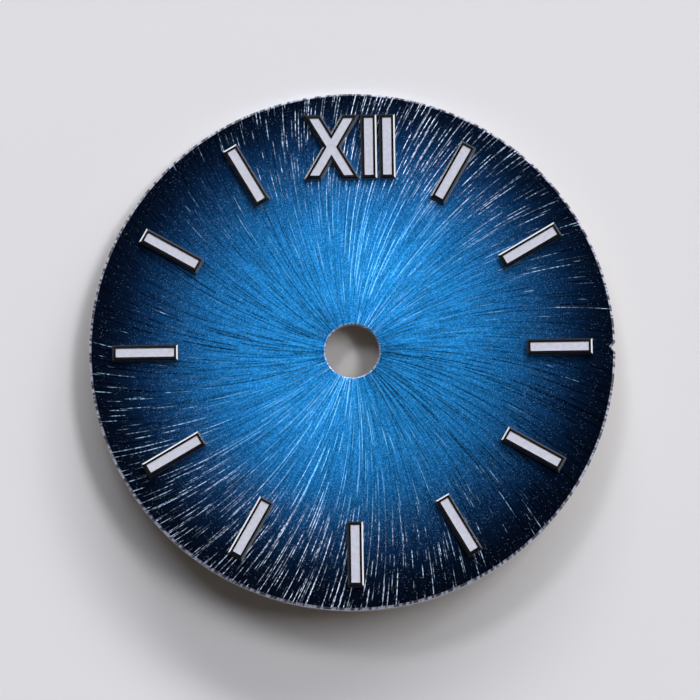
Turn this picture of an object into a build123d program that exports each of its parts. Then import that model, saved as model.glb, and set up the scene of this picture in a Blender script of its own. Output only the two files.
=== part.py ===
from build123d import *

import os
from math import atan2, cos, radians, sin

# A watch dial: a thin disc with two feet under it and raised hour markers on its face.
# The origin is on the axis of the centre bore, in the back face that seats on the movement.
# +Z rises out of the face, +Y points to 12 o'clock and +X to 3 o'clock. Lengths are in mm.

# The plate, with a broken edge round its rim and bore and a small V notch at 3 o'clock
plate_diameter = 28.5
plate_thickness = 0.40
rim_break = 0.08
bore_diameter = 2.92
bore_break = 0.06
notch_depth = 0.24
notch_width = 0.56
notch_shoulder_radius = 0.12

# Applied hour markers: a frame with an open channel, a flat rim and a bevel outside it
marker_edge_margin = 1.245
marker_height = 0.40
marker_floor = 0.15
rim_width = 0.115
bevel_width = 0.08
bevel_drop = 0.045
lume_length = 3.16
lume_width = 0.475
lume_recess = 0.03

# Pins under each marker, which pass through the plate and end just inside its back
pin_diameter = 0.30
pin_hole_clearance = 0.02
pin_end_inset = 0.80
pin_end_recess = 0.03

# The XII: an X of two slanted bars, then two I strokes
cross_bar_width = 0.44
cross_spread = 1.86
cross_pin_share = 0.60
cross_to_stroke_gap = 0.07
stroke_to_stroke_gap = 0.135

# Dial feet: a welded base in a shallow recess of the back, a flare and a straight pin
foot_diameter = 0.75
foot_length = 2.50
foot_tip_chamfer = 0.15
foot_base_diameter = 1.40
foot_base_thickness = 0.10
foot_flare_diameter = 1.10
foot_recess_depth = 0.20
foot_recess_clearance = 0.05
foot_edge_margin = 0.80
foot_angles = {"dial_foot_1": -8.0, "dial_foot_2": 200.0}

# Hours on the dial, the hour that carries the numeral, and what every cut runs past its face by
hours = 12
numeral_hour = 12
overrun = 0.50

frame_wall = rim_width + bevel_width
frame_length = lume_length + 2 * frame_wall
stroke_width = lume_width + 2 * frame_wall
marker_circle_radius = plate_diameter / 2 - marker_edge_margin - frame_length / 2


def bar_outline():
    """Plan of a straight lume channel, its length along Y."""
    return Rectangle(lume_width, lume_length)


def slanted_bar(lean):
    """One bar of the X, cut off level at both ends. It leans left at the top for 1, right for -1."""
    slant = atan2(cross_spread, lume_length)
    level_half = cross_bar_width / cos(slant) / 2
    top = lume_length / 2
    side = lean * cross_spread / 2
    return Polygon(
        (-side - level_half, top),
        (side - level_half, -top),
        (side + level_half, -top),
        (-side + level_half, top),
        align=None,
    )


def cross_outline():
    """Plan of the X's lume channel: two slanted bars that cross."""
    return slanted_bar(1) + slanted_bar(-1)


def frame_outline(outline):
    """Plan of a marker's frame: its channel grown by the wall, with mitred corners."""
    return offset(outline, frame_wall, kind=Kind.INTERSECTION)


def bar_pins():
    """Pin places under a straight marker, in its own frame."""
    reach = frame_length / 2 - pin_end_inset
    return [(0, reach), (0, -reach)]


def cross_pins():
    """Pin places under the X, both on the bar that falls from left to right."""
    across = cross_pin_share * cross_spread / 2
    up = cross_pin_share * lume_length / 2
    return [(-across, up), (across, -up)]


def marker_frame(outline, pins):
    """An applied marker: a bevelled frame with a floor and an open channel, and its pins below."""
    body = extrude(frame_outline(outline), marker_height)
    top = body.faces().sort_by(Axis.Z)[-1]
    body = chamfer(top.edges(), bevel_width, bevel_drop, reference=top)
    body -= Pos(0, 0, marker_floor) * extrude(outline, marker_height - marker_floor + overrun)
    pin_length = plate_thickness - pin_end_recess
    pin = Cylinder(pin_diameter / 2, pin_length, align=(Align.CENTER, Align.CENTER, Align.MAX))
    for x, y in pins:
        body += Pos(x, y) * pin
    return body


def marker_lume(outline):
    """The compound poured in a marker's channel, a little below the rim."""
    depth = marker_height - lume_recess - marker_floor
    return Pos(0, 0, marker_floor) * extrude(outline, depth)


def at_hour(hour, across=0):
    """Where a marker stands on the face, turned so that its length points to the centre."""
    turn = Rot(0, 0, -360 * hour / hours)
    return turn * Pos(across, marker_circle_radius, plate_thickness)


def numeral_places():
    """How far each piece of the XII stands to the right of 12 o'clock, the whole centred on it."""
    cross_width = frame_outline(cross_outline()).bounding_box().size.X
    whole = cross_width + cross_to_stroke_gap + stroke_width + stroke_to_stroke_gap + stroke_width
    cross = -whole / 2 + cross_width / 2
    right = whole / 2 - stroke_width / 2
    left = right - stroke_to_stroke_gap - stroke_width
    return {"x": cross, "i_left": left, "i_right": right}


def marker_table():
    """Every marker by name: its channel's plan, its pins and its place."""
    table = {}
    for hour in range(1, hours):
        table[f"baton_{hour:02d}"] = (bar_outline(), bar_pins(), at_hour(hour))
    for stroke, across in numeral_places().items():
        outline = cross_outline() if stroke == "x" else bar_outline()
        pins = cross_pins() if stroke == "x" else bar_pins()
        table[f"numeral_{stroke}"] = (outline, pins, at_hour(numeral_hour, across))
    return table


def foot_place(angle):
    """A foot's axis, near the rim, at an angle counted from 3 o'clock towards 12."""
    reach = plate_diameter / 2 - foot_edge_margin - foot_base_diameter / 2
    return Pos(reach * cos(radians(angle)), reach * sin(radians(angle)))


def plate_plan():
    """Outline of the plate: its bore, and the V notch with rounded shoulders."""
    radius = plate_diameter / 2
    mouth = notch_width / 2 * (notch_depth + overrun) / notch_depth
    notch = Polygon(
        (radius - notch_depth, 0),
        (radius + overrun, -mouth),
        (radius + overrun, mouth),
        align=None,
    )
    plan = Circle(radius) - notch
    shoulders = [v for v in plan.vertices() if v.X > radius - notch_depth / 2 and v.Y != 0]
    plan = fillet(shoulders, notch_shoulder_radius)
    return plan - Circle(bore_diameter / 2)


def dial_plate(markers):
    """The plate, with a hole for every marker pin and a recess for each foot's base."""
    plate = extrude(plate_plan(), plate_thickness)
    top = plate.faces().sort_by(Axis.Z)[-1]
    plate = chamfer(top.outer_wire().edges(), rim_break)
    top = plate.faces().sort_by(Axis.Z)[-1]
    plate = chamfer(top.inner_wires()[0].edges(), bore_break)
    hole = Cylinder(pin_diameter / 2 + pin_hole_clearance, plate_thickness + 2 * overrun)
    plate -= [place * Pos(x, y) * hole for _, pins, place in markers.values() for x, y in pins]
    recess = Pos(0, 0, foot_recess_depth) * Cylinder(
        foot_base_diameter / 2 + foot_recess_clearance,
        foot_recess_depth + overrun,
        align=(Align.CENTER, Align.CENTER, Align.MAX),
    )
    return plate - [foot_place(angle) * recess for angle in foot_angles.values()]


def dial_foot():
    """A foot turned about its axis: base, weld flare inside the recess, pin and chamfered tip."""
    base = foot_base_diameter / 2
    pin = foot_diameter / 2
    seat = foot_recess_depth
    profile = Polygon(
        (0, seat),
        (base, seat),
        (base, seat - foot_base_thickness),
        (foot_flare_diameter / 2, seat - foot_base_thickness),
        (pin, 0),
        (pin, foot_tip_chamfer - foot_length),
        (pin - foot_tip_chamfer, -foot_length),
        (0, -foot_length),
        align=None,
    )
    return revolve(Plane.XZ * profile, Axis.Z)


def build_pieces():
    """Every piece of the dial, by the name of its node."""
    markers = marker_table()
    pieces = {"dial_plate": dial_plate(markers)}
    for name, angle in foot_angles.items():
        pieces[name] = foot_place(angle) * dial_foot()
    for name, (outline, pins, place) in markers.items():
        pieces[f"{name}_frame"] = place * marker_frame(outline, pins)
        pieces[f"{name}_lume"] = place * marker_lume(outline)
    return pieces


os.makedirs("parts", exist_ok=True)
for node, piece in build_pieces().items():
    export_step(piece, f"parts/{node}.step")
    print(f"{node}: {piece.volume:.4f} mm3")
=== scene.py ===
"""Looks of a watch dial: a brushed brass disc under graduated blue lacquer, with applied markers.

The dial lies on its two feet and its rim at 12 o'clock. +Z comes out of the face, +Y points to
12 o'clock and +X to 3 o'clock. Named sizes are in millimetres, and the meshes get metres.
"""
from math import atan2, cos, pi, radians, sin, tan

import bpy
import numpy as np
from mathutils import Matrix, Vector


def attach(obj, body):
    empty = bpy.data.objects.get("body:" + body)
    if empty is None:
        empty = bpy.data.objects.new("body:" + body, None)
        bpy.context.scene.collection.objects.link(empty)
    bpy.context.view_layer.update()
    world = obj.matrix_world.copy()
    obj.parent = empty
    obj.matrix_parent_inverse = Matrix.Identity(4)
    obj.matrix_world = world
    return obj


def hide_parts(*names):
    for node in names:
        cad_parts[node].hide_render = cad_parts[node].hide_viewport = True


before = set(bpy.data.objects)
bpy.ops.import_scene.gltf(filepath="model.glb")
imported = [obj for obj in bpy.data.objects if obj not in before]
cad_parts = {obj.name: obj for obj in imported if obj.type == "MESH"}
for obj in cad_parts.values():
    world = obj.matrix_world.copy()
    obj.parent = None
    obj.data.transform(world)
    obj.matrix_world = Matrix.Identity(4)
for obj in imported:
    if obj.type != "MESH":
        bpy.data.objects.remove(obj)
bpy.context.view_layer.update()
MM = 0.001


# The viewpoint: a long lens almost straight above the face, tipped a little towards 6 o'clock,
# with the dial turned a touch anticlockwise in the picture. Angles are in degrees.
VIEW_ELEVATION, VIEW_ROLL = 79.0, 0.88
LENS, SENSOR_WIDTH = 570.0, 36.0
NEAREST, FARTHEST = 0.01, 20.0
PICTURE_WIDTH = 37.92
CENTRE_RIGHT, CENTRE_DOWN = 0.125, 0.043
FACE_CENTRE = Vector((0, 0, 0.40))


def placed(name, data):
    """An object of the scene, at the origin and unturned."""
    made = bpy.data.objects.new(name, data)
    bpy.context.scene.collection.objects.link(made)
    return made


lens_data = bpy.data.cameras.new("picture_camera")
lens_data.lens = LENS
lens_data.sensor_width = SENSOR_WIDTH
lens_data.clip_start, lens_data.clip_end = NEAREST, FARTHEST
camera = placed("picture_camera", lens_data)
tip, roll = radians(VIEW_ELEVATION), radians(VIEW_ROLL)
back = Vector((0, -cos(tip), sin(tip)))
level_up = Vector((0, sin(tip), cos(tip)))
right = Vector((cos(roll), 0, 0)) - level_up * sin(roll)
up = level_up * cos(roll) + Vector((sin(roll), 0, 0))
aim = FACE_CENTRE - right * CENTRE_RIGHT + up * CENTRE_DOWN
stand = (aim + back * (PICTURE_WIDTH * LENS / SENSOR_WIDTH)) * MM
turned = Matrix((right, up, back)).transposed().to_4x4()
camera.matrix_world = Matrix.Translation(stand) @ turned
bpy.context.scene.camera = camera


# The studio: a pale sheet under the dial, as tilted to it as the dial's own rest makes it, and a
# dim room, brighter to the right. A wide softbox stands above 12 o'clock, a strip hangs high on
# either side, and three low cards light the bevels.
FLOOR_TINT, FLOOR_REACH = "E4E5E9", 350.0
REST_POINTS = ((0.0, 14.25, 0.0), (12.63, -1.77, -2.5), (-11.98, -4.36, -2.5))
ROOM_LOW, ROOM_WALL, ROOM_CEILING, ROOM_BRIGHT_SIDE = "D0D1D6", "38393E", "101114", "62646A"
# Heights at which one tone of the room gives way to the next, from 0 level with the dial to 1.
ROOM_LOW_TO, ROOM_WALL_FROM, ROOM_WALL_TO, ROOM_CEILING_FROM = 0.06, 0.16, 0.52, 0.58
BRIGHT_SIDE, BRIGHT_SIDE_EDGE, BRIGHT_SIDE_HEART = (0.81, 0.38, 0.45), 0.55, 0.82
KEY_TINT, FILL_TINT = "FFFDFC", "FBFBFF"
LAMP_DISTANCE = 1.60


def colour(code):
    """Linear RGBA of an sRGB colour such as "1E6BA8"."""
    parts = [int(code[i:i + 2], 16) / 255 for i in (0, 2, 4)]
    linear = [p / 12.92 if p <= 0.04045 else ((p + 0.055) / 1.055) ** 2.4 for p in parts]
    return linear + [1.0]


def add(tree, kind, inputs=(), **settings):
    """Adds a node: its settings, then its sockets by name or by number among those in use.

    Each socket gets a value, an output, or a node whose first output in use feeds it.
    """
    made = tree.nodes.new(kind)
    for name, value in settings.items():
        setattr(made, name, value)
    in_use = [socket for socket in made.inputs if socket.enabled]
    for key, value in dict(inputs).items():
        by_number = isinstance(key, int)
        socket = in_use[key] if by_number else next(s for s in in_use if s.name == key)
        if isinstance(value, bpy.types.Node):
            value = next(output for output in value.outputs if output.enabled)
        if isinstance(value, bpy.types.NodeSocket):
            tree.links.new(value, socket)
        else:
            socket.default_value = value
    return made


def finish_called(name):
    """An empty material for a real finish, and its node tree."""
    material = bpy.data.materials.new(name)
    material.use_nodes = True
    material.node_tree.nodes.clear()
    return material, material.node_tree


def softbox(name, azimuth, elevation, width, height, watts, tint):
    """A lamp that faces the dial. Azimuth runs clockwise from 12 o'clock. Sizes in metres."""
    lamp = bpy.data.lights.new(name, "AREA")
    lamp.shape = "RECTANGLE"
    lamp.size, lamp.size_y = width, height
    lamp.energy = watts
    lamp.color = colour(tint)[:3]
    turn, rise = radians(azimuth), radians(elevation)
    away = Vector((sin(turn) * cos(rise), cos(turn) * cos(rise), sin(rise)))
    facing = away.to_track_quat("Z", "Y").to_matrix().to_4x4()
    placed(name, lamp).matrix_world = Matrix.Translation(away * LAMP_DISTANCE) @ facing


softbox("softbox_top", 20, 40, width=2.00, height=0.36, watts=23.3, tint=KEY_TINT)
softbox("strip_right", 76, 65, width=0.80, height=0.30, watts=9.0, tint=KEY_TINT)
softbox("strip_upper_left", 330, 66, width=0.50, height=0.25, watts=4.4, tint=FILL_TINT)
softbox("card_right", 82, 31, width=0.80, height=0.50, watts=1.5, tint=KEY_TINT)
softbox("card_left", 304, 25.5, width=0.40, height=0.22, watts=0.34, tint=FILL_TINT)
softbox("card_upper_left", 336, 20, width=0.60, height=0.23, watts=0.54, tint=FILL_TINT)

room = bpy.data.worlds.new("studio_room")
room.use_nodes = True
tree = room.node_tree
tree.nodes.clear()
looking = add(tree, "ShaderNodeTexCoord").outputs["Generated"]
rise = add(tree, "ShaderNodeSeparateXYZ", {0: looking}).outputs["Z"]
height = add(tree, "ShaderNodeMapRange", {
    "Value": rise, "From Min": ROOM_LOW_TO, "From Max": ROOM_WALL_FROM,
}, interpolation_type="SMOOTHSTEP")
overhead = add(tree, "ShaderNodeMapRange", {
    "Value": rise, "From Min": ROOM_WALL_TO, "From Max": ROOM_CEILING_FROM,
}, interpolation_type="SMOOTHSTEP")
towards = add(tree, "ShaderNodeVectorMath", {0: looking, 1: BRIGHT_SIDE}, operation="DOT_PRODUCT")
bright = add(tree, "ShaderNodeMapRange", {
    "Value": towards, "From Min": BRIGHT_SIDE_EDGE, "From Max": BRIGHT_SIDE_HEART,
}, interpolation_type="SMOOTHSTEP")
upper = add(tree, "ShaderNodeMix", {
    0: overhead, "A": colour(ROOM_WALL), "B": colour(ROOM_CEILING),
}, data_type="RGBA")
upper = add(tree, "ShaderNodeMix", {
    0: bright, "A": upper, "B": colour(ROOM_BRIGHT_SIDE),
}, data_type="RGBA")
walls = add(tree, "ShaderNodeMix", {0: height, "A": colour(ROOM_LOW), "B": upper}, data_type="RGBA")
lit_room = add(tree, "ShaderNodeBackground", {"Color": walls, "Strength": 1.0})
add(tree, "ShaderNodeOutputWorld", {"Surface": lit_room})
bpy.context.scene.world = room

rim_point, foot_point, far_foot_point = (Vector(point) for point in REST_POINTS)
across = foot_point - far_foot_point
floor_normal = across.cross(rim_point - far_foot_point).normalized()
floor_x = across.normalized()
floor_y = floor_normal.cross(floor_x)
middle = (foot_point + far_foot_point) / 2
corners = [
    middle + (floor_x * i + floor_y * j) * FLOOR_REACH
    for i, j in ((-1, -1), (1, -1), (1, 1), (-1, 1))
]
floor_mesh = bpy.data.meshes.new("studio_sheet")
floor_mesh.from_pydata([tuple(c * MM) for c in corners], [], [(0, 1, 2, 3)])
floor = placed("studio_sheet", floor_mesh)
# Matt paper: even, with no gloss.
paper, tree = finish_called("matt_paper")
surface = add(tree, "ShaderNodeBsdfPrincipled", {
    "Base Color": colour(FLOOR_TINT), "Roughness": 0.9, "Specular IOR Level": 0.1,
})
add(tree, "ShaderNodeOutputMaterial", {"Surface": surface})
floor_mesh.materials.append(paper)


# The blank: a disc stamped and turned from 0.4 mm brass sheet, with the pins' holes and the
# recesses for the feet. Its back keeps the turning marks and a clear lacquer against tarnish.
BRASS, BRASS_DULL, WELD_TINT = "D9BE86", "B08F55", "9C5B37"
FOOT_PLACES = ((12.63, -1.77), (-11.98, -4.36))
WELD_STAIN_FROM, WELD_STAIN_TO, WELD_STAIN = 0.6, 1.6, 0.75
TURNING_PITCH, TURNING_DEPTH = 0.11, 0.012
STAINS_PER_MM = 0.35
BRASS_SMOOTHEST, BRASS_ROUGHEST = 0.26, 0.42

# Turned brass: close, uneven rings that catch the light, duller in patches, and darkened round
# each foot by the heat of its weld.
turned_brass, tree = finish_called("turned_lacquered_brass")
place = add(tree, "ShaderNodeTexCoord").outputs["Object"]
flat = add(tree, "ShaderNodeVectorMath", {0: place, 1: (1 / MM, 1 / MM, 0)}, operation="MULTIPLY")
reach = add(tree, "ShaderNodeVectorMath", {0: flat}, operation="LENGTH")
marks = add(tree, "ShaderNodeMath", {0: reach, 1: 1 / TURNING_PITCH}, operation="MULTIPLY")
rings = add(tree, "ShaderNodeTexNoise", {
    "W": marks, "Scale": 1.0, "Detail": 3.0,
}, noise_dimensions="1D")
stain = add(tree, "ShaderNodeTexNoise", {
    "Vector": flat, "Scale": STAINS_PER_MM, "Detail": 4.0, "Roughness": 0.6,
})
dull = add(tree, "ShaderNodeMapRange", {"Value": stain, "From Min": 0.42, "From Max": 0.72})
tone = add(tree, "ShaderNodeMix", {
    0: dull, "A": colour(BRASS), "B": colour(BRASS_DULL),
}, data_type="RGBA")
one_foot, other_foot = (
    add(tree, "ShaderNodeVectorMath", {0: flat, 1: (x, y, 0)}, operation="DISTANCE")
    for x, y in FOOT_PLACES
)
nearest = add(tree, "ShaderNodeMath", {0: one_foot, 1: other_foot}, operation="MINIMUM")
heat = add(tree, "ShaderNodeMapRange", {
    "Value": nearest, "From Min": WELD_STAIN_TO, "From Max": WELD_STAIN_FROM,
    "To Max": WELD_STAIN,
})
tone = add(tree, "ShaderNodeMix", {0: heat, "A": tone, "B": colour(WELD_TINT)}, data_type="RGBA")
gloss = add(tree, "ShaderNodeMapRange", {
    "Value": rings, "To Min": BRASS_SMOOTHEST, "To Max": BRASS_ROUGHEST,
})
relief = add(tree, "ShaderNodeBump", {
    "Height": rings, "Strength": 0.6, "Distance": TURNING_DEPTH * MM,
})
surface = add(tree, "ShaderNodeBsdfPrincipled", {
    "Base Color": tone, "Metallic": 1.0, "Roughness": gloss, "Normal": relief,
    "Coat Weight": 0.3, "Coat Roughness": 0.15,
})
add(tree, "ShaderNodeOutputMaterial", {"Surface": surface})
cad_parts["dial_plate"].material_slots[0].material = turned_brass


# The face: silvered, brushed outwards from the bore in curved strokes, then lacquered clear blue
# in the middle and sprayed dark towards the rim. The coat rolls over the edges of the disc.
DIAL_RADIUS, BORE_RADIUS, PLATE_TOP = 14.25, 1.46, 0.40
NOTCH_DEPTH, NOTCH_HALF_WIDTH, NOTCH_SOFT = 0.24, 0.28, 0.036
SHOULDERS_SHARE, NOTCH_PULL_FROM, NOTCH_PULL_OVER = 1.3, 0.9, 0.75
COAT, BORE_COAT = 0.005, 0.008
RIM_ROLL, BORE_ROLL, ROLL_SHARE = 0.10, 0.075, 0.6
RIM_MARGIN, BORE_MARGIN = 0.16, 0.13
# Inside the disc: the coat's thickness down the walls, how far in it steps, and its heights.
SHELL, UNDER_STEP = 0.035, 0.10
WALL_FOOT, UNDER_RIM, UNDER_BORE, UNDERSIDE = 0.02, 0.31, 0.32, 0.38
COLUMNS, FACE_RINGS, ROLL_RINGS = 1440, 46, 5
NOTCH_COLUMNS, NOTCH_COLUMN_STEP, NOTCH_COLUMN_SINE = 30, 0.06, 0.032


def rim_radius(angle):
    """Radius of the coated rim, which the V notch at 3 o'clock cuts into with soft shoulders."""
    y = DIAL_RADIUS * sin(angle)
    if cos(angle) < 0 or abs(y) > SHOULDERS_SHARE * NOTCH_HALF_WIDTH:
        return DIAL_RADIUS + COAT
    side = DIAL_RADIUS - NOTCH_DEPTH + abs(y) * NOTCH_DEPTH / NOTCH_HALF_WIDTH
    soft = max(NOTCH_SOFT - abs(side - DIAL_RADIUS), 0) / NOTCH_SOFT
    return min(side, DIAL_RADIUS) - soft * soft * NOTCH_SOFT / 4 + COAT


def smooth(value):
    """Eases from 0 to 1, and stays at either end beyond that."""
    value = min(max(value, 0.0), 1.0)
    return value * value * (3 - 2 * value)


# Columns of points stand evenly round the disc, and closer together across the notch.
even_columns = [i * 2 * pi / COLUMNS for i in range(COLUMNS)]
notch_columns = [
    (i * radians(NOTCH_COLUMN_STEP)) % (2 * pi) for i in range(-NOTCH_COLUMNS, NOTCH_COLUMNS + 1)
]
columns = sorted(
    {round(a, 7) for a in even_columns if abs(sin(a)) > NOTCH_COLUMN_SINE or cos(a) < 0}
    | {round(a, 7) for a in notch_columns}
)
# Rings from the foot of the bore wall, over the face and down the rim, then back inside the disc:
# radius, height, and how much of the face's brushing shows there.
top = PLATE_TOP + COAT
outer, inner = DIAL_RADIUS + COAT, BORE_RADIUS - BORE_COAT
bore_roll = [
    (inner + BORE_ROLL * (1 - sin(t)), top - BORE_ROLL * (1 - cos(t)), ROLL_SHARE * cos(t) ** 4)
    for t in np.linspace(pi / 2, 0, ROLL_RINGS)
]
rim_roll = [
    (outer - RIM_ROLL * (1 - sin(t)), top - RIM_ROLL * (1 - cos(t)), ROLL_SHARE * cos(t) ** 4)
    for t in np.linspace(0, pi / 2, ROLL_RINGS)
]
face_radii = np.linspace(inner + BORE_MARGIN, outer - RIM_MARGIN, FACE_RINGS)
section = [(inner, WALL_FOOT, 0)] + bore_roll + [(r, top, 1) for r in face_radii] + rim_roll
section += [
    (outer, WALL_FOOT, 0), (outer - SHELL, WALL_FOOT, 0), (outer - SHELL, UNDER_RIM, 0),
    (outer - UNDER_STEP, UNDERSIDE, 0), (inner + UNDER_STEP, UNDERSIDE, 0),
    (inner + SHELL, UNDER_BORE, 0), (inner + SHELL, WALL_FOOT, 0),
]
# Degrees that a brushing stroke turns for each millimetre outwards. The columns follow it.
STROKE_SWEEP = 1.0
points, shares, faces = [], [], []
for angle in columns:
    pull = outer - rim_radius(angle)
    for r, z, share in section:
        reach = r - pull * smooth((r - (outer - NOTCH_PULL_FROM)) / NOTCH_PULL_OVER)
        turn = angle + radians(STROKE_SWEEP) * (DIAL_RADIUS - r)
        points.append((reach * cos(turn) * MM, reach * sin(turn) * MM, z * MM))
        shares.append(share)
ring = len(section)
for i in range(len(columns)):
    here, beside = i * ring, (i + 1) % len(columns) * ring
    for j in range(ring):
        onward = (j + 1) % ring
        faces.append((here + j, here + onward, beside + onward, beside + j))
face_mesh = bpy.data.meshes.new("dial_face_blank")
face_mesh.from_pydata(points, [], faces)
face_mesh.polygons.foreach_set("use_smooth", [True] * len(faces))
brushed = face_mesh.attributes.new("brushed_share", "FLOAT", "POINT")
brushed.data.foreach_set("value", shares)


def stroke_place(tree, place):
    """For a place in metres: its stroke's heading as a unit vector with the radius as Z.

    The flat place, the radius and the sweep up to it come too, all in millimetres and radians.
    """
    flat = add(tree, "ShaderNodeVectorMath", {
        0: place, 1: (1 / MM, 1 / MM, 0),
    }, operation="MULTIPLY")
    reach = add(tree, "ShaderNodeVectorMath", {0: flat}, operation="LENGTH")
    sweep = add(tree, "ShaderNodeMath", {0: reach, 1: radians(STROKE_SWEEP)}, operation="MULTIPLY")
    turned = add(tree, "ShaderNodeVectorRotate", {
        "Vector": flat, "Angle": sweep,
    }, rotation_type="Z_AXIS")
    heading = add(tree, "ShaderNodeVectorMath", {0: turned}, operation="NORMALIZE")
    heading = add(tree, "ShaderNodeSeparateXYZ", {0: heading}).outputs
    joined = add(tree, "ShaderNodeCombineXYZ", {0: heading["X"], 1: heading["Y"], 2: reach})
    return joined, flat, reach, sweep


def strokes(tree, joined, around, along, seed):
    """Noise drawn out along the brushing: cells per radian around and per mm along it."""
    stretched = add(tree, "ShaderNodeVectorMath", {
        0: joined, 1: (around, around, along),
    }, operation="MULTIPLY")
    return add(tree, "ShaderNodeTexNoise", {
        "Vector": stretched, "W": seed, "Scale": 1.0, "Detail": 2.0,
    }, noise_dimensions="4D")


# Grooves: the brushing lifts and lowers the face along its strokes, less towards the bore and
# fading out where the coat rolls over an edge.
GROOVE_DEPTH = 0.0025
GROOVES_AROUND, GROOVES_ALONG = 90, 0.5

grooving = bpy.data.node_groups.new("brushed_grooves", "GeometryNodeTree")
keys = {}
for name, kind in (
    ("Geometry", "NodeSocketGeometry"), ("Groove depth", "NodeSocketFloat"),
    ("Seed", "NodeSocketFloat"), ("Finish", "NodeSocketMaterial"),
):
    asked = grooving.interface.new_socket(name, in_out="INPUT", socket_type=kind)
    keys[name] = asked.identifier
grooving.interface.new_socket("Geometry", in_out="OUTPUT", socket_type="NodeSocketGeometry")
given = add(grooving, "NodeGroupInput").outputs
joined, flat, reach, sweep = stroke_place(grooving, add(grooving, "GeometryNodeInputPosition"))
fine = strokes(grooving, joined, GROOVES_AROUND, GROOVES_ALONG, given["Seed"])
level = add(grooving, "ShaderNodeMath", {0: fine, 1: 0.5}, operation="SUBTRACT")
share = add(grooving, "GeometryNodeInputNamedAttribute", {
    "Name": "brushed_share",
}, data_type="FLOAT")
level = add(grooving, "ShaderNodeMath", {0: level, 1: share}, operation="MULTIPLY")
wide = add(grooving, "ShaderNodeMath", {0: reach, 1: 1 / DIAL_RADIUS}, operation="MULTIPLY")
level = add(grooving, "ShaderNodeMath", {0: level, 1: wide}, operation="MULTIPLY")
level = add(grooving, "ShaderNodeMath", {0: level, 1: given["Groove depth"]}, operation="MULTIPLY")
lift = add(grooving, "ShaderNodeCombineXYZ", {"Z": level})
shaped = add(grooving, "GeometryNodeSetPosition", {"Geometry": given["Geometry"], "Offset": lift})
shaped = add(grooving, "GeometryNodeRealizeInstances", {"Geometry": shaped})
shaped = add(grooving, "GeometryNodeSetMaterial", {"Geometry": shaped, "Material": given["Finish"]})
add(grooving, "NodeGroupOutput", {0: shaped})

# Lacquered sunburst silvering: a bright metal grain seen through clear blue lacquer that darkens
# outwards, and light runs along the strokes in two opposite fans, which are partly painted into
# the face as a fixed highlight; the scratch tops stay silver.
SPRAY_CENTRE = (0.18, 0.47, 0)
LACQUER_STOPS = (
    (0.00, "1B7ED0"), (0.20, "2594E4"), (0.40, "2289D5"), (0.52, "1D74B9"), (0.60, "1863A1"),
    (0.69, "144B7E"), (0.79, "0D2F57"), (0.88, "071932"), (0.95, "061021"), (1.00, "060D1C"),
)
HAIRLINE_TINT, HAIRLINE_LACQUERED, EDGE_TINT = "D2E2FA", "80CBFF", "CDD0E6"
# Cells of the strokes per radian and per mm, near the bore, at mid radius and near the rim, and
# the radii over which each gives way to the next.
NEAR_STROKES, MID_STROKES, FAR_STROKES = (40, 0.25), (85, 0.35), (165, 0.6)
NEAR_END, MID_START, MID_END, FAR_START = 3.0, 5.5, 7.5, 10.5

sunburst, tree = finish_called("blue_lacquered_sunburst")
place = add(tree, "ShaderNodeTexCoord").outputs["Object"]
joined, flat, reach, sweep = stroke_place(tree, place)
sprayed = add(tree, "ShaderNodeVectorMath", {0: flat, 1: SPRAY_CENTRE}, operation="DISTANCE")
out_share = add(tree, "ShaderNodeMath", {0: sprayed, 1: 1 / DIAL_RADIUS}, operation="MULTIPLY")
lacquer = add(tree, "ShaderNodeValToRGB", {0: out_share})
ramp = lacquer.color_ramp.elements
for i, (position, code) in enumerate(LACQUER_STOPS):
    stop = ramp[i] if i < 2 else ramp.new(position)
    stop.position, stop.color = position, colour(code)
# Three widths of stroke share the face, so that a line stays about 0.06 mm wide from bore to rim.
near_lines = strokes(tree, joined, *NEAR_STROKES, seed=1.0)
mid_lines = strokes(tree, joined, *MID_STROKES, seed=2.0)
far_lines = strokes(tree, joined, *FAR_STROKES, seed=3.0)
past_near = add(tree, "ShaderNodeMapRange", {
    "Value": reach, "From Min": NEAR_END, "From Max": MID_START,
}, interpolation_type="SMOOTHSTEP")
past_mid = add(tree, "ShaderNodeMapRange", {
    "Value": reach, "From Min": MID_END, "From Max": FAR_START,
}, interpolation_type="SMOOTHSTEP")
lines = add(tree, "ShaderNodeMix", {
    0: past_near, "A": near_lines, "B": mid_lines,
}, data_type="FLOAT")
lines = add(tree, "ShaderNodeMix", {0: past_mid, "A": lines, "B": far_lines}, data_type="FLOAT")

# The silvering's grain: flakes 0.04 mm across, each a little lighter or darker than the rest,
# with the strokes' contrast over them. The lightest get painted glints, fewer of them towards
# the rim.
GRAINS_PER_MM = 23.0
GRAIN_NEAR, GRAIN_FAR, GRAIN_MEAN = 0.85, 0.6, 0.33
FINER_FROM, FINER_TO = 8.0, 12.0
GLINT_NEAR, GLINT_FAR, GLINT = 0.65, 0.97, 0.5
RARER_FROM, RARER_TO = 6.5, 12.5
STROKE_DARK, STROKE_LIGHT = 0.66, 1.34

cells = add(tree, "ShaderNodeTexVoronoi", {
    "Vector": flat, "Scale": GRAINS_PER_MM,
}, voronoi_dimensions="2D").outputs
grain = add(tree, "ShaderNodeSeparateColor", {0: cells["Color"]})
finer = add(tree, "ShaderNodeMapRange", {
    "Value": reach, "From Min": FINER_FROM, "From Max": FINER_TO,
    "To Min": GRAIN_NEAR, "To Max": GRAIN_FAR,
})
skewed = add(tree, "ShaderNodeMath", {
    0: grain, 1: grain, 2: -GRAIN_MEAN,
}, operation="MULTIPLY_ADD")
grained = add(tree, "ShaderNodeMath", {0: skewed, 1: finer, 2: 1.0}, operation="MULTIPLY_ADD")
lined = add(tree, "ShaderNodeMapRange", {
    "Value": lines, "From Min": 0.3, "From Max": 0.7,
    "To Min": STROKE_DARK, "To Max": STROKE_LIGHT,
})
gain = add(tree, "ShaderNodeMath", {0: grained, 1: lined}, operation="MULTIPLY")
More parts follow.
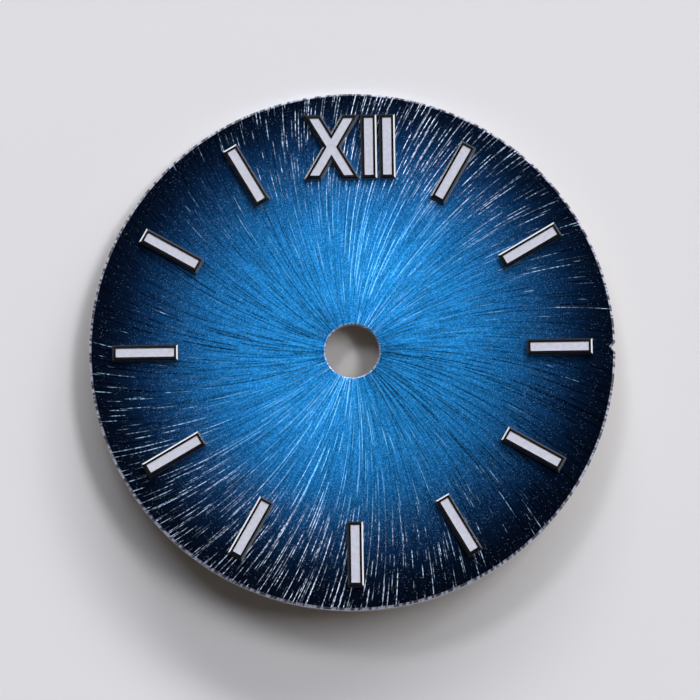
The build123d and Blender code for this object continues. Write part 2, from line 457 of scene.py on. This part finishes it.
rarer = add(tree, "ShaderNodeMapRange", {
    "Value": reach, "From Min": RARER_FROM, "From Max": RARER_TO,
    "To Min": GLINT_NEAR, "To Max": GLINT_FAR,
})
# Painted glints: the lightest grains take the hairlines' silver colour.
painted_glint = add(tree, "ShaderNodeMapRange", {
    "Value": grain, "From Min": rarer, "From Max": 1.0, "To Max": GLINT,
})
dot = add(tree, "ShaderNodeMapRange", {
    "Value": cells["Distance"], "From Min": 0.4, "From Max": 0.15,
})
painted_glint = add(tree, "ShaderNodeMath", {0: painted_glint, 1: dot}, operation="MULTIPLY")

# Where each thread of the brushing lies: its heading round the bore. A thread is soft over the
# outer part of its width, comes and goes along its length, and breaks into beads there.
THREAD_CORE, THREAD_SKIRT = 0.3, 0.7
BEADS_PER_MM = 5.5
BEAD_FROM, BEAD_TO = 0.42, 0.58
GONE_BELOW, WHOLE_ABOVE = 0.5, 0.62
FAINTEST, WANDER = 0.35, 0.5
ROW_STEP = 7.31

heading = add(tree, "ShaderNodeSeparateXYZ", {0: joined}).outputs
turn = add(tree, "ShaderNodeMath", {0: heading["Y"], 1: heading["X"]}, operation="ARCTAN2")


def threads(count, width, span, bias, broken, seed):
    """Threads of one width in mm, one in each of so many sectors.

    Span is how often one comes and goes per mm, bias how much of it is there, and broken how
    far it is parted into beads.
    """
    sector = add(tree, "ShaderNodeMath", {
        0: turn, 1: count / (2 * pi), 2: count / 2,
    }, operation="MULTIPLY_ADD")
    number = add(tree, "ShaderNodeMath", {0: sector}, operation="FLOOR")
    dice = add(tree, "ShaderNodeCombineXYZ", {0: number, 1: seed})
    dice = add(tree, "ShaderNodeTexWhiteNoise", {0: dice}).outputs["Color"]
    dice = add(tree, "ShaderNodeSeparateColor", {0: dice}).outputs
    centre = add(tree, "ShaderNodeMath", {
        0: dice["Red"], 1: WANDER, 2: (1 - WANDER) / 2,
    }, operation="MULTIPLY_ADD")
    off = add(tree, "ShaderNodeMath", {0: sector}, operation="FRACT")
    off = add(tree, "ShaderNodeMath", {0: off, 1: centre}, operation="SUBTRACT")
    off = add(tree, "ShaderNodeMath", {0: off}, operation="ABSOLUTE")
    off = add(tree, "ShaderNodeMath", {0: off, 1: reach}, operation="MULTIPLY")
    cell = width * count / (2 * pi)
    body = add(tree, "ShaderNodeMapRange", {
        "Value": off, "From Min": THREAD_SKIRT * cell, "From Max": THREAD_CORE * cell,
    })
    row = add(tree, "ShaderNodeMath", {0: number, 1: ROW_STEP, 2: seed}, operation="MULTIPLY_ADD")
    along = add(tree, "ShaderNodeMath", {0: reach, 1: span}, operation="MULTIPLY")
    along = add(tree, "ShaderNodeCombineXYZ", {0: row, 1: along})
    there = add(tree, "ShaderNodeTexNoise", {
        "Vector": along, "Scale": 1.0, "Detail": 0.0,
    }, noise_dimensions="2D")
    there = add(tree, "ShaderNodeMath", {0: there, 1: bias}, operation="ADD")
    there = add(tree, "ShaderNodeMapRange", {
        "Value": there, "From Min": GONE_BELOW, "From Max": WHOLE_ABOVE,
    })
    closely = add(tree, "ShaderNodeMath", {0: reach, 1: BEADS_PER_MM}, operation="MULTIPLY")
    closely = add(tree, "ShaderNodeCombineXYZ", {0: row, 1: closely})
    beads = add(tree, "ShaderNodeTexNoise", {
        "Vector": closely, "Scale": 1.0, "Detail": 1.0,
    }, noise_dimensions="2D")
    beads = add(tree, "ShaderNodeMapRange", {
        "Value": beads, "From Min": BEAD_FROM, "From Max": BEAD_TO,
    })
    beads = add(tree, "ShaderNodeMix", {0: broken, "A": 1.0, "B": beads}, data_type="FLOAT")
    force = add(tree, "ShaderNodeMath", {
        0: dice["Green"], 1: 1 - FAINTEST, 2: FAINTEST,
    }, operation="MULTIPLY_ADD")
    mark = add(tree, "ShaderNodeMath", {0: body, 1: there}, operation="MULTIPLY")
    mark = add(tree, "ShaderNodeMath", {0: mark, 1: beads}, operation="MULTIPLY")
    return add(tree, "ShaderNodeMath", {0: mark, 1: force}, operation="MULTIPLY")


# Painted highlight: the light that the strokes catch is painted into the face itself as two fixed
# fans, a narrow one just past 12 o'clock and a wide one about 7 o'clock. The hairlines show mostly
# inside them. Headings are from the bore outwards.
UPPER_FAN, UPPER_FAN_POWER = (0.26, 0.966, 0), 2.2
LOWER_FAN, LOWER_FAN_POWER, LOWER_FAN_SHARE = (-0.423, -0.906, 0), 1.4, 0.93
PAINTED_FAN_HAIRS_NEAR, PAINTED_FAN_HAIRS_FAR, OFF_FAN = 0.24, 0.39, -0.32
PAINTED_FAN_GROWS_FROM, PAINTED_FAN_GROWS_TO = 1.5, 7.0
BREAKS_FROM, BREAKS_TO, LEAST_BROKEN, MOST_BROKEN = 3.0, 12.5, 0.3, 0.85

outwards = add(tree, "ShaderNodeVectorMath", {0: flat}, operation="NORMALIZE")
fan = add(tree, "ShaderNodeVectorMath", {0: outwards, 1: UPPER_FAN}, operation="DOT_PRODUCT")
both_ways = add(tree, "ShaderNodeMath", {0: fan}, operation="ABSOLUTE")
both_ways = add(tree, "ShaderNodeMath", {0: both_ways, 1: UPPER_FAN_POWER}, operation="POWER")
above = add(tree, "ShaderNodeMath", {0: fan, 1: 0.0}, operation="MAXIMUM")
above = add(tree, "ShaderNodeMath", {0: above, 1: UPPER_FAN_POWER}, operation="POWER")
below = add(tree, "ShaderNodeVectorMath", {0: outwards, 1: LOWER_FAN}, operation="DOT_PRODUCT")
below = add(tree, "ShaderNodeMath", {0: below, 1: 0.0}, operation="MAXIMUM")
below = add(tree, "ShaderNodeMath", {0: below, 1: LOWER_FAN_POWER}, operation="POWER")
below = add(tree, "ShaderNodeMath", {0: below, 1: LOWER_FAN_SHARE}, operation="MULTIPLY")
painted_fan_strength = add(tree, "ShaderNodeMath", {0: above, 1: below}, operation="MAXIMUM")
# Painted highlight: hairlines show inside the painted fans and drop out between them, more sharply
# towards the rim.
hairs_shown_by_painted_fans = add(tree, "ShaderNodeMapRange", {
    "Value": reach, "From Min": PAINTED_FAN_GROWS_FROM, "From Max": PAINTED_FAN_GROWS_TO,
    "To Min": PAINTED_FAN_HAIRS_NEAR, "To Max": PAINTED_FAN_HAIRS_FAR,
})
hairs_shown_by_painted_fans = add(tree, "ShaderNodeMath", {
    0: painted_fan_strength, 1: hairs_shown_by_painted_fans, 2: OFF_FAN,
}, operation="MULTIPLY_ADD")
broken = add(tree, "ShaderNodeMapRange", {
    "Value": reach, "From Min": BREAKS_FROM, "From Max": BREAKS_TO,
    "To Min": LEAST_BROKEN, "To Max": MOST_BROKEN,
})

# Deep strokes read as dark threads, with painted shade making them darkest away from the painted
# fans. A painted sheen makes the lacquer over them a shade brighter along 1:30 and 7:30, and
# darker towards 4 o'clock.
DARK_OFF_FAN, DARK_LOST_IN_FAN = -0.95, 0.6
BRIGHT_AXIS, BRIGHT_LEAN = (0.67, 0.74, 0), (-0.046, 0.066, 0)
DIM_ACROSS, BRIGHT_ALONG = 0.80, 0.13

wide_dark = threads(count=90, width=0.08, span=0.4, bias=0.075, broken=LEAST_BROKEN, seed=4.0)
fine_dark = threads(count=190, width=0.068, span=0.5, bias=0.095, broken=LEAST_BROKEN, seed=5.0)
dark_threads_and_painted_shade = add(tree, "ShaderNodeMath", {0: wide_dark, 1: fine_dark}, operation="MAXIMUM")
# Painted shade: the threads are darkened more the farther they lie from the painted fans.
depth = add(tree, "ShaderNodeMath", {
    0: both_ways, 1: DARK_LOST_IN_FAN, 2: DARK_OFF_FAN,
}, operation="MULTIPLY_ADD")
dark_threads_and_painted_shade = add(tree, "ShaderNodeMath", {0: dark_threads_and_painted_shade, 1: depth, 2: 1.0}, operation="MULTIPLY_ADD")
gain = add(tree, "ShaderNodeMath", {0: gain, 1: dark_threads_and_painted_shade}, operation="MULTIPLY")
# Painted sheen and shade: the face's colour is raised along one axis and lowered across it, fixed
# in the face.
axis = add(tree, "ShaderNodeVectorMath", {0: outwards, 1: BRIGHT_AXIS}, operation="DOT_PRODUCT")
painted_sheen = add(tree, "ShaderNodeMath", {0: axis, 1: axis}, operation="MULTIPLY")
painted_sheen = add(tree, "ShaderNodeMath", {
    0: painted_sheen, 1: BRIGHT_ALONG, 2: DIM_ACROSS,
}, operation="MULTIPLY_ADD")
lean = add(tree, "ShaderNodeVectorMath", {0: outwards, 1: BRIGHT_LEAN}, operation="DOT_PRODUCT")
painted_sheen = add(tree, "ShaderNodeMath", {0: painted_sheen, 1: lean}, operation="ADD")
gain = add(tree, "ShaderNodeMath", {0: gain, 1: painted_sheen}, operation="MULTIPLY")
body = add(tree, "ShaderNodeVectorMath", {0: lacquer, "Scale": gain}, operation="SCALE")

# Scratch tops are hair-fine and left silver, few and long near the middle, closer together and
# broken into beads towards the rim. Under thick lacquer they are blue, and in the painted fans
# they are painted silver-white as a highlight.
LIT_OFF_FAN, LIT_BY_FAN = 0.4, 0.6

few = threads(count=90, width=0.038, span=0.35, bias=hairs_shown_by_painted_fans, broken=broken, seed=6.0)
many = threads(count=170, width=0.038, span=0.45, bias=hairs_shown_by_painted_fans, broken=broken, seed=7.0)
most = threads(count=300, width=0.037, span=0.8, bias=hairs_shown_by_painted_fans, broken=MOST_BROKEN, seed=8.0)
hair = add(tree, "ShaderNodeMath", {0: few, 1: many}, operation="MAXIMUM")
far_hair = add(tree, "ShaderNodeMath", {0: most, 1: past_mid}, operation="MULTIPLY")
hair = add(tree, "ShaderNodeMath", {0: hair, 1: far_hair}, operation="MAXIMUM")
hair = add(tree, "ShaderNodeMath", {0: hair, 1: dark_threads_and_painted_shade}, operation="MULTIPLY")
# Painted highlight: the hairlines' colour turns silver-white towards the painted fans.
painted_fan_highlight = add(tree, "ShaderNodeMath", {
    0: both_ways, 1: LIT_BY_FAN, 2: LIT_OFF_FAN,
}, operation="MULTIPLY_ADD")
painted_fan_highlight = add(tree, "ShaderNodeMath", {0: painted_fan_highlight, 1: past_mid}, operation="MULTIPLY")
hairline_colour_and_painted_highlight = add(tree, "ShaderNodeMix", {
    0: painted_fan_highlight, "A": colour(HAIRLINE_LACQUERED), "B": colour(HAIRLINE_TINT),
}, data_type="RGBA")
tinted = add(tree, "ShaderNodeMix", {0: painted_glint, "A": body, "B": hairline_colour_and_painted_highlight}, data_type="RGBA")
tinted = add(tree, "ShaderNodeMix", {0: hair, "A": tinted, "B": hairline_colour_and_painted_highlight}, data_type="RGBA")

# The coat thins out where it rolls over the edges, so that worn silver shows there in nicks.
BARE_BELOW, COVERED_ABOVE = 0.30, 0.34
NICKS_AT_BORE, NICKS_AT_RIM, NICKS_FROM, NICKS_TO = 14.0, 60.0, 2.0, 13.0

level = add(tree, "ShaderNodeSeparateXYZ", {0: place}).outputs["Z"]
bare_wall = add(tree, "ShaderNodeMapRange", {
    "Value": level, "From Min": COVERED_ABOVE * MM, "From Max": BARE_BELOW * MM,
})
face_share = add(tree, "ShaderNodeAttribute", attribute_name="brushed_share").outputs["Fac"]
rolled = add(tree, "ShaderNodeMapRange", {
    "Value": face_share, "From Min": 0.85, "From Max": 0.35,
})
often = add(tree, "ShaderNodeMapRange", {
    "Value": reach, "From Min": NICKS_FROM, "From Max": NICKS_TO,
    "To Min": NICKS_AT_BORE, "To Max": NICKS_AT_RIM,
})
around = add(tree, "ShaderNodeVectorMath", {0: joined, 1: (1, 1, 0)}, operation="MULTIPLY")
around = add(tree, "ShaderNodeVectorMath", {0: around, "Scale": often}, operation="SCALE")
nicks = add(tree, "ShaderNodeTexNoise", {"Vector": around, "Scale": 1.0, "Detail": 1.0})
nicks = add(tree, "ShaderNodeMapRange", {
    "Value": nicks, "From Min": 0.45, "From Max": 0.57, "To Min": 0.12,
})
rolled = add(tree, "ShaderNodeMath", {0: rolled, 1: nicks}, operation="MULTIPLY")
bare = add(tree, "ShaderNodeMath", {0: bare_wall, 1: rolled}, operation="MAXIMUM")
edged = add(tree, "ShaderNodeMix", {0: bare, "A": tinted, "B": colour(EDGE_TINT)}, data_type="RGBA")

# Hairlines and bare edges shine as metal, more sharply than the lacquered silvering, whose sheen
# runs along the strokes. A clear coat lies over all of it.
SILVERED, HAIR_SHINE, WORN_SHINE = 0.1, 6.0, 0.5
FACE_ROUGHNESS, HAIR_ROUGHNESS = 0.42, 0.3
GRAIN_RELIEF, RELIEF_DEPTH = 0.25, 0.01

silver = add(tree, "ShaderNodeMath", {0: hair, 1: HAIR_SHINE}, operation="MULTIPLY")
worn = add(tree, "ShaderNodeMath", {0: bare, 1: WORN_SHINE}, operation="MULTIPLY")
metal = add(tree, "ShaderNodeMath", {0: silver, 1: worn}, operation="MAXIMUM")
shine = add(tree, "ShaderNodeMapRange", {"Value": metal, "To Min": SILVERED, "To Max": 1.0})
gloss = add(tree, "ShaderNodeMapRange", {
    "Value": hair, "To Min": FACE_ROUGHNESS, "To Max": HAIR_ROUGHNESS,
})
relief = add(tree, "ShaderNodeMath", {
    0: grain, 1: GRAIN_RELIEF, 2: lines,
}, operation="MULTIPLY_ADD")
bump = add(tree, "ShaderNodeBump", {
    "Height": relief, "Strength": 1.0, "Distance": RELIEF_DEPTH * MM,
})
square_on = add(tree, "ShaderNodeVectorMath", {0: (0, 0, 1), 1: flat}, operation="CROSS_PRODUCT")
leaning = add(tree, "ShaderNodeVectorMath", {0: flat, "Scale": sweep}, operation="SCALE")
across_stroke = add(tree, "ShaderNodeVectorMath", {0: square_on, 1: leaning}, operation="ADD")
surface = add(tree, "ShaderNodeBsdfPrincipled", {
    "Base Color": edged, "Metallic": shine, "Roughness": gloss, "Normal": bump,
    "Specular IOR Level": 0.0, "Anisotropic": 0.95, "Tangent": across_stroke,
    "Coat Weight": 0.55, "Coat Roughness": 0.05,
})
add(tree, "ShaderNodeOutputMaterial", {"Surface": surface})

blank = placed("dial_face_blank", face_mesh)
cutting = blank.modifiers.new("brushing", "NODES")
cutting.node_group = grooving
cutting[keys["Groove depth"]] = GROOVE_DEPTH * MM
cutting[keys["Seed"]] = 7.0
cutting[keys["Finish"]] = sunburst
evaluated = blank.evaluated_get(bpy.context.evaluated_depsgraph_get())
grooved = bpy.data.meshes.new_from_object(evaluated)
bpy.data.objects.remove(blank)
dial_face = placed("dial_face_lacquer", grooved)
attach(dial_face, "root")


# The feet: copper pins welded into recesses of the back, which the movement's side screws grip.
# They are cut from drawn wire, and welding darkened the flare at the top of each.
COPPER, COPPER_BURNT = "D08A62", "6E3B2A"
BURNT_ABOVE, CLEAN_BELOW = -0.05, -0.7
DRAWN_LINES_PER_MM = (22, 22, 0.7)
DRAWN_DEPTH = 0.01
COPPER_SMOOTHEST, COPPER_ROUGHEST = 0.2, 0.45

# Drawn copper: warm and bright, with fine lines along its length.
drawn_copper, tree = finish_called("drawn_copper")
place = add(tree, "ShaderNodeTexCoord").outputs["Object"]
drawn = add(tree, "ShaderNodeVectorMath", {
    0: place, 1: [per_mm / MM for per_mm in DRAWN_LINES_PER_MM],
}, operation="MULTIPLY")
lines = add(tree, "ShaderNodeTexNoise", {"Vector": drawn, "Scale": 1.0, "Detail": 3.0})
level = add(tree, "ShaderNodeSeparateXYZ", {0: place}).outputs["Z"]
burnt = add(tree, "ShaderNodeMapRange", {
    "Value": level, "From Min": CLEAN_BELOW * MM, "From Max": BURNT_ABOVE * MM,
})
tone = add(tree, "ShaderNodeMix", {
    0: burnt, "A": colour(COPPER), "B": colour(COPPER_BURNT),
}, data_type="RGBA")
gloss = add(tree, "ShaderNodeMapRange", {
    "Value": lines, "To Min": COPPER_SMOOTHEST, "To Max": COPPER_ROUGHEST,
})
relief = add(tree, "ShaderNodeBump", {
    "Height": lines, "Strength": 0.5, "Distance": DRAWN_DEPTH * MM,
})
surface = add(tree, "ShaderNodeBsdfPrincipled", {
    "Base Color": tone, "Metallic": 1.0, "Roughness": gloss, "Normal": relief,
})
add(tree, "ShaderNodeOutputMaterial", {"Surface": surface})
for foot in ("dial_foot_1", "dial_foot_2"):
    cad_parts[foot].material_slots[0].material = drawn_copper


# The markers: brass frames struck in one piece with their pins, diamond-cut on top and bevelled,
# then rhodium plated. The pins go through the disc from the face.
RHODIUM = "D3D4D8"
WEAR_PER_MM, WEAR_DEPTH = 2.5, 0.004
TOP_SMOOTHEST, TOP_ROUGHEST, SIDE_DULLER = 0.05, 0.12, 0.22

# Rhodium plate: mirror-bright on top, a little duller down the sides, with the faintest waves.
rhodium, tree = finish_called("polished_rhodium_plate")
place = add(tree, "ShaderNodeTexCoord").outputs
wear = add(tree, "ShaderNodeTexNoise", {
    "Vector": place["Object"], "Scale": WEAR_PER_MM / MM, "Detail": 3.0,
})
facing = add(tree, "ShaderNodeSeparateXYZ", {0: place["Normal"]}).outputs["Z"]
side = add(tree, "ShaderNodeMapRange", {
    "Value": facing, "From Min": 0.7, "From Max": 0.3, "To Max": SIDE_DULLER,
})
polish = add(tree, "ShaderNodeMapRange", {
    "Value": wear, "To Min": TOP_SMOOTHEST, "To Max": TOP_ROUGHEST,
})
gloss = add(tree, "ShaderNodeMath", {0: polish, 1: side}, operation="ADD")
relief = add(tree, "ShaderNodeBump", {
    "Height": wear, "Strength": 0.15, "Distance": WEAR_DEPTH * MM,
})
surface = add(tree, "ShaderNodeBsdfPrincipled", {
    "Base Color": colour(RHODIUM), "Metallic": 1.0, "Roughness": gloss, "Normal": relief,
})
add(tree, "ShaderNodeOutputMaterial", {"Surface": surface})
for name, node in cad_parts.items():
    if name.endswith("_frame"):
        node.material_slots[0].material = rhodium


# The lume: pigment in clear binder, dropped into each marker's channel with a needle and left to
# level. It sets a little below the rim, with rounded ends where it clings to the corners.
LUME_TINT, LUME_SHADE = "C9CCDA", "BABDCD"
HOURS, HOUR_TURN = range(1, 12), -30
MARKER_REACH = 11.23
LUME_WIDTH, LUME_LENGTH = 0.475, 3.16
LUME_FLOOR, LUME_TOP = 0.55, 0.77
CROSS_BAR_WIDTH, CROSS_SPREAD = 0.44, 1.86
CROSS_ACROSS, STROKES_ACROSS = -0.9675, (1.061, 2.061)
CORNER_RADIUS, CORNER_STEPS = 0.05, 4
# The edge of the top, outside first: how far in from the channel's wall and how far down.
EDGE_CURVE = ((0, 0.014), (0.006, 0.005), (0.018, 0))
PIGMENT_PER_MM, CLUMPS_PER_MM, PIGMENT_DEPTH = 16.0, 5.0, 0.01


def bar_plan():
    """Plan of a straight channel, anticlockwise."""
    w, h = LUME_WIDTH / 2, LUME_LENGTH / 2
    return [(-w, -h), (w, -h), (w, h), (-w, h)]


def cross_plan():
    """Plan of the X's channel, anticlockwise: two slanted bars, cut level at their ends."""
    slant = atan2(CROSS_SPREAD, LUME_LENGTH)
    half, h, s = CROSS_BAR_WIDTH / cos(slant) / 2, LUME_LENGTH / 2, CROSS_SPREAD / 2
    waist = half * h / s
    right_side = [
        (s - half, -h), (s + half, -h), (half, 0), (s + half, h), (s - half, h), (0, waist),
    ]
    return right_side + [(-x, -y) for x, y in right_side]


def rounded(plan):
    """The plan with each corner turned to a small curve."""
    soft = []
    for i, corner in enumerate(plan):
        here = Vector(corner)
        one = (Vector(plan[i - 1]) - here).normalized()
        two = (Vector(plan[(i + 1) % len(plan)]) - here).normalized()
        cut = CORNER_RADIUS / tan(one.angle(two) / 2)
        start, end = here + one * cut, here + two * cut
        for k in range(CORNER_STEPS + 1):
            t = k / CORNER_STEPS
            soft.append(start * (1 - t) ** 2 + here * 2 * t * (1 - t) + end * t * t)
    return soft


def drawn_in(plan, by):
    """The plan moved in from its edge by a distance."""
    moved = []
    for i, here in enumerate(plan):
        one = (here - plan[i - 1]).normalized()
        two = (plan[(i + 1) % len(plan)] - here).normalized()
        inward = Vector((-one.y - two.y, one.x + two.x))
        moved.append(here + inward * (by * 2 / inward.length_squared))
    return moved


def lume_fill(name, plan, places, nodes):
    """Fills of one plan at each place, a turn in degrees and a step across, as one piece."""
    points, faces = [], []
    plan = rounded(plan)
    count = len(plan)
    rings = [(0, LUME_FLOOR)] + [(inset, LUME_TOP - drop) for inset, drop in EDGE_CURVE]
    for turn, across in places:
        start = len(points)
        spin = Matrix.Rotation(radians(turn), 2)
        for inset, z in rings:
            for p in drawn_in(plan, inset):
                q = spin @ Vector((p.x + across, p.y + MARKER_REACH))
                points.append((q.x * MM, q.y * MM, z * MM))
        for j in range(len(rings) - 1):
            for i in range(count):
                a, b = start + j * count + i, start + j * count + (i + 1) % count
                faces.append((a, b, b + count, a + count))
        faces.append(tuple(start + i for i in reversed(range(count))))
        faces.append(tuple(start + (len(rings) - 1) * count + i for i in range(count)))
    mesh = bpy.data.meshes.new(name)
    mesh.from_pydata(points, [], faces)
    mesh.polygons.foreach_set("use_smooth", [len(f) == 4 for f in faces])
    mesh.materials.append(lume)
    piece = placed(name, mesh)
    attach(piece, "root")
    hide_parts(*nodes)


# Luminous compound: matt and off-white, with grains of pigment 0.02 to 0.05 mm across, drawn
# slightly coarser so that they show.
lume, tree = finish_called("luminous_compound")
place = add(tree, "ShaderNodeTexCoord").outputs["Object"]
grains = add(tree, "ShaderNodeTexNoise", {
    "Vector": place, "Scale": PIGMENT_PER_MM / MM, "Detail": 2.0, "Roughness": 0.7,
})
clumps = add(tree, "ShaderNodeTexNoise", {
    "Vector": place, "Scale": CLUMPS_PER_MM / MM, "Detail": 2.0,
})
mixed = add(tree, "ShaderNodeMath", {0: grains, 1: clumps}, operation="ADD")
shade = add(tree, "ShaderNodeMapRange", {"Value": mixed, "From Min": 0.75, "From Max": 1.25})
tone = add(tree, "ShaderNodeMix", {
    0: shade, "A": colour(LUME_SHADE), "B": colour(LUME_TINT),
}, data_type="RGBA")
relief = add(tree, "ShaderNodeBump", {
    "Height": grains, "Strength": 0.35, "Distance": PIGMENT_DEPTH * MM,
})
surface = add(tree, "ShaderNodeBsdfPrincipled", {
    "Base Color": tone, "Roughness": 0.75, "Specular IOR Level": 0.3, "Normal": relief,
})
add(tree, "ShaderNodeOutputMaterial", {"Surface": surface})

lume_fill(
    "baton_lume_fills", bar_plan(), [(HOUR_TURN * hour, 0) for hour in HOURS],
    [f"baton_{hour:02d}_lume" for hour in HOURS],
)
lume_fill("numeral_x_lume_fill", cross_plan(), [(0, CROSS_ACROSS)], ["numeral_x_lume"])
lume_fill(
    "numeral_i_lume_fills", bar_plan(), [(0, across) for across in STROKES_ACROSS],
    ["numeral_i_left_lume", "numeral_i_right_lume"],
)


bpy.context.scene.view_settings.view_transform = "Standard"
bpy.context.view_layer.update()
